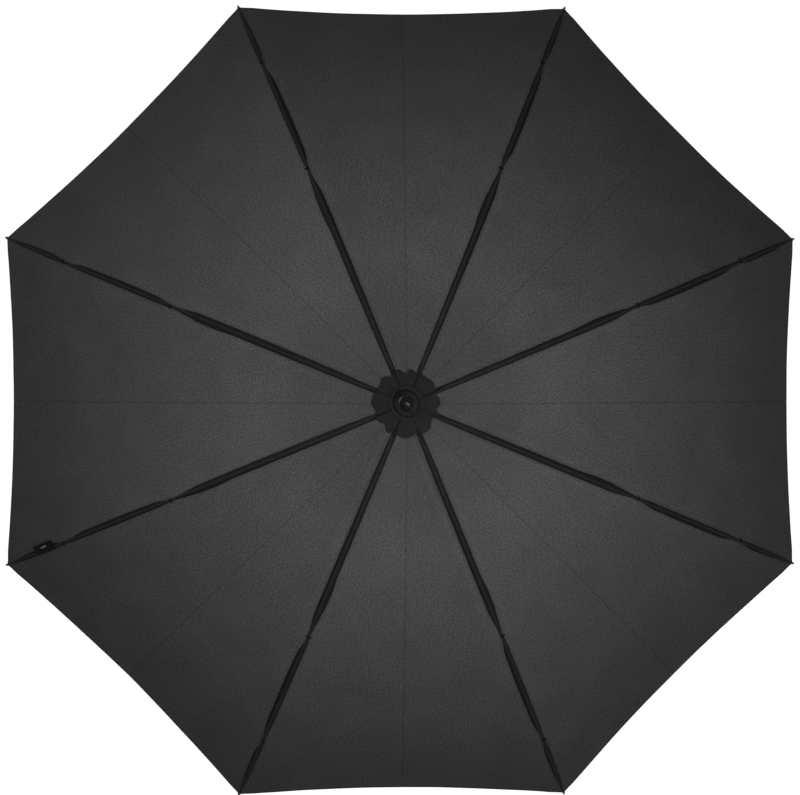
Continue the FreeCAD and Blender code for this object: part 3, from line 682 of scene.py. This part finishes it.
def half_rosette(gore, side):
    """One sixteenth of the rosette: from the middle of a gore to the fold over one rib."""
    rib = gore if side < 0 else gore % RIBS + 1
    middle = azimuth_of(gore) + HALF_STEP
    steps = 22
    rings = 16
    top, under, uvs = [], [], []
    for i in range(rings + 1):
        for j in range(steps + 1):
            turn = side * HALF_STEP * j / steps
            azimuth = middle + turn
            edge = min(rosette_edge(azimuth), ROSETTE_R)
            radius = ROSETTE_INNER_R + (edge - ROSETTE_INNER_R) * i / rings
            from_rib = HALF_STEP - abs(turn)
            gap = ROSETTE_FOLD * smooth(17 * MM, ROSETTE_R, radius) + 0.3 * MM
            limit = math.asin(gap / radius)
            turn = side * min(abs(turn), HALF_STEP - limit)
            azimuth = middle + turn
            tuck = 0.5 * MM * smooth(6 * MM, 0.0, radius * from_rib) * smooth(20 * MM, 30 * MM, radius)
            ripple = 0.35 * MM * noise.noise(Vector((radius * 90, azimuth * 4, 2.2)))
            ripple *= smooth(20 * MM, 34 * MM, radius)
            height = rosette_height(radius, HALF_STEP - abs(turn)) - tuck + ripple
            for layer, store in ((0.5 * MM, top), (0.0, under)):
                store.append(Vector((radius * math.cos(azimuth), radius * math.sin(azimuth), height + layer)))
            uvs.append((radius, 0.2 + radius * turn))
    verts = top + under
    faces = face_up(shell_faces(rings + 1, steps + 1), verts)
    letter = "a" if side < 0 else "b"
    piece = new_object("rosette_%d%s" % (gore, letter), verts, faces, [ROSETTE_FINISH])
    set_uvs(piece, uvs + uvs)
    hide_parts("hub_rosette")
    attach(piece, "rib_arm_%d" % rib)
    pleat(piece)


def build_canopy():
    for gore in range(1, RIBS + 1):
        for side in (-1, 1):
            half_gore(gore, side)
            half_rosette(gore, side)
        cover_strip(gore)


# ---- label and closing strap -----------------------------------------------------------------------
def place_label(along, across, height):
    """Point of the label, from its middle: along the rib, across it, and off the cloth."""
    slope = slope_at(LABEL_SHARE * TIP_R)
    roll = math.atan(math.tan(HALF_STEP) * math.sin(slope))
    flap = Vector((along, across * math.cos(roll) - height * math.sin(roll),
                   across * math.sin(roll) + height * math.cos(roll)))
    tilted = Vector((flap.x * math.cos(slope) + flap.z * math.sin(slope), flap.y,
                     flap.z * math.cos(slope) - flap.x * math.sin(slope)))
    radius, z = on_arc(slope, LABEL_LIFT - LABEL_OFFSET * math.sin(roll))
    return turned(tilted + Vector((radius, -LABEL_OFFSET, z)), azimuth_of(LABEL_RIB))


def build_label():
    """Woven label sewn down beside rib 5, with a plain pale oval in satin stitch."""
    rows, cols = 23, 11
    top, under, uvs = [], [], []
    for i in range(rows):
        for j in range(cols):
            along = LABEL_LENGTH * (i / (rows - 1) - 0.5)
            across = LABEL_WIDTH * (j / (cols - 1) - 0.5)
            curl = 0.5 * MM * abs(2 * along / LABEL_LENGTH) ** 6
            curl += 0.12 * MM * math.sin(along * 700) * math.cos(across * 300)
            top.append(place_label(along, across, curl + 0.5 * MM))
            under.append(place_label(along, across, curl))
            uvs.append((along, 0.3 + across))
    verts = top + under
    faces = face_up(shell_faces(rows, cols), verts)
    uvs = uvs + uvs
    cloth_faces = len(faces)
    along = (place_label(MM, 0, 0) - place_label(0, 0, 0)).normalized()
    across = (place_label(0, MM, 0) - place_label(0, 0, 0)).normalized()
    normal = along.cross(across)
    for k in range(OVAL_STITCHES):
        place = ((k + 0.5) / OVAL_STITCHES - 0.5) * OVAL_LENGTH
        length = OVAL_WIDTH * math.sqrt(1 - (2 * place / OVAL_LENGTH) ** 2)
        stitch(verts, faces, uvs, place_label(place, 0, 0.5 * MM), across, normal, length=length,
               width=0.55 * MM, high=0.3 * MM)
    oval_faces = len(faces)
    for k in range(13):
        for edge in (-1, 1):
            centre = place_label((k - 6) * 2.9 * MM, edge * (LABEL_WIDTH / 2 - 1.2 * MM), 0.5 * MM)
            stitch(verts, faces, uvs, centre, along, normal)
    piece = new_object("label", verts, faces, [LABEL_FINISH, PALE_THREAD, THREAD])
    set_uvs(piece, uvs)
    for polygon in piece.data.polygons[cloth_faces:oval_faces]:
        polygon.material_index = 1
    for polygon in piece.data.polygons[oval_faces:]:
        polygon.material_index = 2
    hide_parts("label_tag")
    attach(piece, "rib_arm_%d" % LABEL_RIB)
    pleat(piece)


def band_ring(centre, half_width, half_thick, tangent, out):
    """Cross-section of a flat band: half a circle at either edge, joined by straight sides."""
    ring = []
    for k in range(16):
        turn = 2 * math.pi * (k + 0.5) / 16
        off = math.copysign(half_width - half_thick, math.cos(turn)) + half_thick * math.cos(turn)
        ring.append(centre + tangent * off + out * (half_thick * math.sin(turn)))
    return ring


def add_band(verts, faces, uvs, rings, ends):
    """Closed tube through rings of equal length, with flat ends; ends gets the number of faces so far."""
    base, count = len(verts), len(rings[0])
    travelled = 0.0
    for index, ring in enumerate(rings):
        if index:
            travelled += (ring[0] - rings[index - 1][0]).length
        for point in ring:
            verts.append(point)
            uvs.append((travelled, (point - ring[0]).length))
    for i in range(len(rings) - 1):
        for k in range(count):
            a, b = base + i * count + k, base + i * count + (k + 1) % count
            faces.append((a, b, b + count, a + count))
    faces.append(tuple(base + k for k in reversed(range(count))))
    last = base + (len(rings) - 1) * count
    faces.append(tuple(last + k for k in range(count)))
    ends.append(len(faces))


class StrapPlace:
    """Where the strap hangs: its middle line, its directions and its ends."""

    def __init__(self):
        low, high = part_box("closing_strap")
        azimuth = azimuth_of(LABEL_RIB)
        self.out = Vector((math.cos(azimuth), math.sin(azimuth), 0))
        self.across = Vector((-math.sin(azimuth), math.cos(azimuth), 0))
        middle = (low + high) / 2
        self.centre = self.out * middle.dot(self.out) + self.across * middle.dot(self.across)
        self.top_z, self.low_z = high.z - STRAP_ROLL_R, low.z

    def bow(self, z):
        """How far the strap bows outwards at this height."""
        share = (self.top_z - z) / (self.top_z - self.low_z)
        return STRAP_BOW * math.sin(math.pi * share * 1.4) * share

    def point(self, z, outward=0.0, side_by=0.0):
        return self.centre + self.out * outward + self.across * side_by + Vector((0, 0, z))

    def ring(self, z, outward, half_width, half_thick):
        return band_ring(self.point(z, outward), half_width, half_thick, self.across, self.out)


def webbing_rings(strap):
    rings = []
    for k in range(56):
        share = k / 55
        z = strap.top_z + (strap.low_z + 0.4 * MM - strap.top_z) * share
        width = STRAP_WIDTH / 2 * (1 - 0.35 * smooth(0.97, 1.0, share))
        rings.append(strap.ring(z, strap.bow(z), width, STRAP_THICK / 2))
    return rings


def roll_rings(strap):
    """The rolled upper end, where the strap is sewn to the hem."""
    turns = [2 * math.pi * j / 16 for j in range(16)]
    rings = []
    for k in range(13):
        swell = STRAP_ROLL_R * (1 - 0.12 * abs(k / 6 - 1) ** 4)
        side_by = STRAP_WIDTH * (0.5 - k / 12)
        rings.append([strap.point(strap.top_z + swell * math.sin(turn), swell * math.cos(turn), side_by)
                      for turn in turns])
    return rings


def pad_rings(strap):
    rings = []
    for k in range(20):
        share = k / 19
        z = strap.low_z + 3 * MM + PAD_LENGTH * (1 - share)
        width = (STRAP_WIDTH / 2 - 2 * MM) * (1 - 0.25 * smooth(0.06, 0.0, min(share, 1 - share)))
        rings.append(strap.ring(z, strap.bow(z) + STRAP_THICK / 2 + PAD_THICK / 2, width, PAD_THICK / 2))
    return rings


def sew_pad(strap, verts, faces, uvs):
    down = Vector((0, 0, -1))
    for k in range(15):
        z = strap.low_z + 4.5 * MM + (PAD_LENGTH - 3 * MM) * k / 14
        outward = strap.bow(z) + STRAP_THICK / 2 + PAD_THICK
        for side in (-1, 1):
            spot = strap.point(z, outward, side * (STRAP_WIDTH / 2 - 3.2 * MM))
            stitch(verts, faces, uvs, spot, down, strap.out)


def build_strap():
    """Webbing strap that hangs from the hem beside rib 5, with a hook pad sewn to its lower end."""
    strap = StrapPlace()
    verts, faces, uvs, ends = [], [], [], []
    for rings in (webbing_rings(strap), roll_rings(strap), pad_rings(strap)):
        add_band(verts, faces, uvs, rings, ends)
    sew_pad(strap, verts, faces, uvs)
    piece = new_object("strap_webbing", verts, faces, [WEBBING, HOOK_PAD, THREAD])
    set_uvs(piece, uvs)
    for polygon in piece.data.polygons:
        if polygon.index >= ends[2]:
            polygon.material_index = 2
        elif polygon.index >= ends[1]:
            polygon.material_index = 1
    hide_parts("closing_strap")
    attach(piece, "strap")


# ---- springs ----------------------------------------------------------------------------------------
def build_spring(name, node, start, axis, length, coil):
    """Coil in the place of a CAD spring."""
    coil_r, wire_r, turns = coil
    side = axis.orthogonal().normalized()
    other = axis.cross(side)
    steps, sides = 20 * turns, 8
    rise = (length - 2 * wire_r) / steps
    verts, faces = [], []
    for k in range(steps + 1):
        turn = 2 * math.pi * k / 20
        outward = side * math.cos(turn) + other * math.sin(turn)
        centre = start + axis * (wire_r + rise * k) + outward * coil_r
        for j in range(sides):
            angle = 2 * math.pi * j / sides
            verts.append(centre + outward * (wire_r * math.cos(angle)) + axis * (wire_r * math.sin(angle)))
    for k in range(steps):
        for j in range(sides):
            a, b = k * sides + j, k * sides + (j + 1) % sides
            faces.append((a, a + sides, b + sides, b))
    faces.append(tuple(range(sides)))
    faces.append(tuple(steps * sides + j for j in reversed(range(sides))))
    piece = new_object(name, verts, faces, [SPRING_STEEL], smooth_angle=math.radians(60))
    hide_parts(node)
    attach(piece, "shaft_assembly")
    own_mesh(piece)


def build_springs():
    low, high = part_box("opening_spring")
    build_spring("opening_coil", "opening_spring", Vector((0, 0, low.z)), Vector((0, 0, 1)), high.z - low.z,
                 OPENING_COIL)
    low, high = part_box("button_spring")
    start = Vector((low.x, (low.y + high.y) / 2, (low.z + high.z) / 2))
    build_spring("button_coil", "button_spring", start, Vector((1, 0, 0)), high.x - low.x, BUTTON_COIL)


# ---- finishes of the CAD nodes ----------------------------------------------------------------------
def finish_nodes():
    """Every CAD node that stays gets its own procedural finish, chosen by its material slot."""
    finishes = {
        "rib_fibreglass": drawn_material("rib_fibreglass", (0.011, 0.011, 0.012), 0.36, 0.0, coat=0.25),
        "stretcher_steel": drawn_material("stretcher_lacquer", (0.015, 0.015, 0.016), 0.34, 0.35),
        "shaft_lacquer": drawn_material("shaft_lacquer", (0.014, 0.014, 0.015), 0.24, 0.3, coat=0.4),
        "nylon": moulded_material("nylon_black", (0.016, 0.016, 0.017), 0.5, wear=0.3),
        "pin_steel": drawn_material("pin_steel", (0.55, 0.55, 0.56), 0.28, 1.0, stretch=(1.0, 0.2, 1.0)),
        "ferrule_plastic": moulded_material("ferrule_plastic", (0.0030, 0.0030, 0.0031), 0.4, specular=0.4),
        "handle_plastic": moulded_material("handle_plastic", (0.017, 0.017, 0.018), 0.45, wear=0.4),
        "grip_foam": foam_material("grip_foam", (0.026, 0.026, 0.027)),
        "button_plastic": moulded_material("button_plastic", (0.10, 0.10, 0.105), 0.3, coat=0.3, wear=0.3),
    }
    slots = {row["node"]: row["material_slot"] for row in frame["record"]["subparts"]}
    collar_finish = moulded_material("collar_plastic", (0.0026, 0.0026, 0.0027), 0.6, specular=0.06)
    for name, node in frame["nodes"].items():
        finish = collar_finish if name == "ferrule_collar" else finishes.get(slots[name])
        if finish is None:
            continue
        node.data.materials.clear()
        node.data.materials.append(finish)


# ---- floor, light and camera ----------------------------------------------------------------------
FLOOR_SIZE = 400.0
FLOOR_GLOW = 1.0                # how white the floor and the world look
FLOOR_LIGHT = 0.25              # how strongly the floor lights the umbrella
WORLD_LIGHT = 0.06              # and how strongly the world does
CAMERA_DISTANCE = 3.0           # above the rim
CAMERA_LEAN = (-0.0223, 0.0083)  # how far its line of sight leans from upright, per metre
CAMERA_AIM = (-0.0024, 0.0058)  # where it looks, from the shaft's axis
TIP_SHARE = 0.534               # the tips' distance from the middle, as a share of the picture's width


def build_stage():
    bpy.ops.mesh.primitive_plane_add(size=FLOOR_SIZE, location=(0, 0, -0.5 * MM))
    floor = bpy.context.object
    floor.name = "floor"
    made = Finish("floor_white", 0.9, specular=0.1)
    made.tint((0.10, 0.10, 0.10), made.spread(made.noise(made.coordinates(), 1.5), 0.3, 0.7, 0.995, 1.005))
    made.shader.inputs["Emission Color"].default_value = (1.0, 1.0, 1.0, 1.0)
    seen = made.node("LightPath").outputs["Is Camera Ray"]
    made.link(made.spread(seen, 0.0, 1.0, FLOOR_LIGHT, FLOOR_GLOW), made.shader.inputs["Emission Strength"])
    floor.data.materials.append(made.material)


def area_light(name, place, aim, size, power):
    data = bpy.data.lights.new(name, "AREA")
    data.shape = "SQUARE"
    data.size = size
    data.energy = power
    lamp = bpy.data.objects.new(name, data)
    lamp.location = place
    lamp.rotation_euler = (Vector(aim) - Vector(place)).to_track_quat("-Z", "Y").to_euler()
    bpy.context.scene.collection.objects.link(lamp)


def build_light():
    """Two soft lamps close above the hub, so that the light falls off towards the rim, a smaller key from
    the left, a weak fill, and a dim surround that looks as white as the floor where it shows above it."""
    world = bpy.data.worlds.new("studio")
    world.use_nodes = True
    tree = world.node_tree
    background = tree.nodes["Background"]
    background.inputs["Color"].default_value = (1.0, 1.0, 1.0, 1.0)
    seen = tree.nodes.new("ShaderNodeMapRange")
    seen.inputs["To Min"].default_value = WORLD_LIGHT
    seen.inputs["To Max"].default_value = FLOOR_GLOW
    tree.links.new(tree.nodes.new("ShaderNodeLightPath").outputs["Is Camera Ray"], seen.inputs["Value"])
    tree.links.new(seen.outputs["Result"], background.inputs["Strength"])
    bpy.context.scene.world = world
    centre = (0.0, 0.0, 0.8)
    area_light("above_right", (0.55, -0.55, 2.8), centre, 0.35, 68)
    area_light("above_left", (-0.55, 0.55, 2.8), centre, 0.35, 20)
    area_light("key", (-2.13, 1.23, 2.55), centre, 0.4, 46)
    area_light("fill", (2.2, -1.2, 3.4), centre, 1.2, 14)


def build_camera():
    """Looks straight down, from a hair to the left and above, so the hub sits off the tips' centre."""
    data = bpy.data.cameras.new("camera")
    data.sensor_width = 36.0
    data.lens = TIP_SHARE * data.sensor_width * CAMERA_DISTANCE / TIP_R
    camera = bpy.data.objects.new("camera", data)
    aim = Vector((*CAMERA_AIM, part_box("rib_tip_1")[0].z))
    camera.location = aim + Vector((*CAMERA_LEAN, 1.0)) * CAMERA_DISTANCE
    ahead = (aim - camera.location).normalized()
    right = ahead.cross(Vector((0, 1, 0))).normalized()
    camera.rotation_mode = "QUATERNION"
    camera.rotation_quaternion = Matrix((right, right.cross(ahead), -ahead)).transposed().to_quaternion()
    bpy.context.scene.collection.objects.link(camera)
    bpy.context.scene.camera = camera
    bpy.context.scene.view_settings.view_transform = "Standard"


build_camera()
build_light()
build_stage()
build_canopy()
build_label()
build_strap()
build_springs()
finish_nodes()
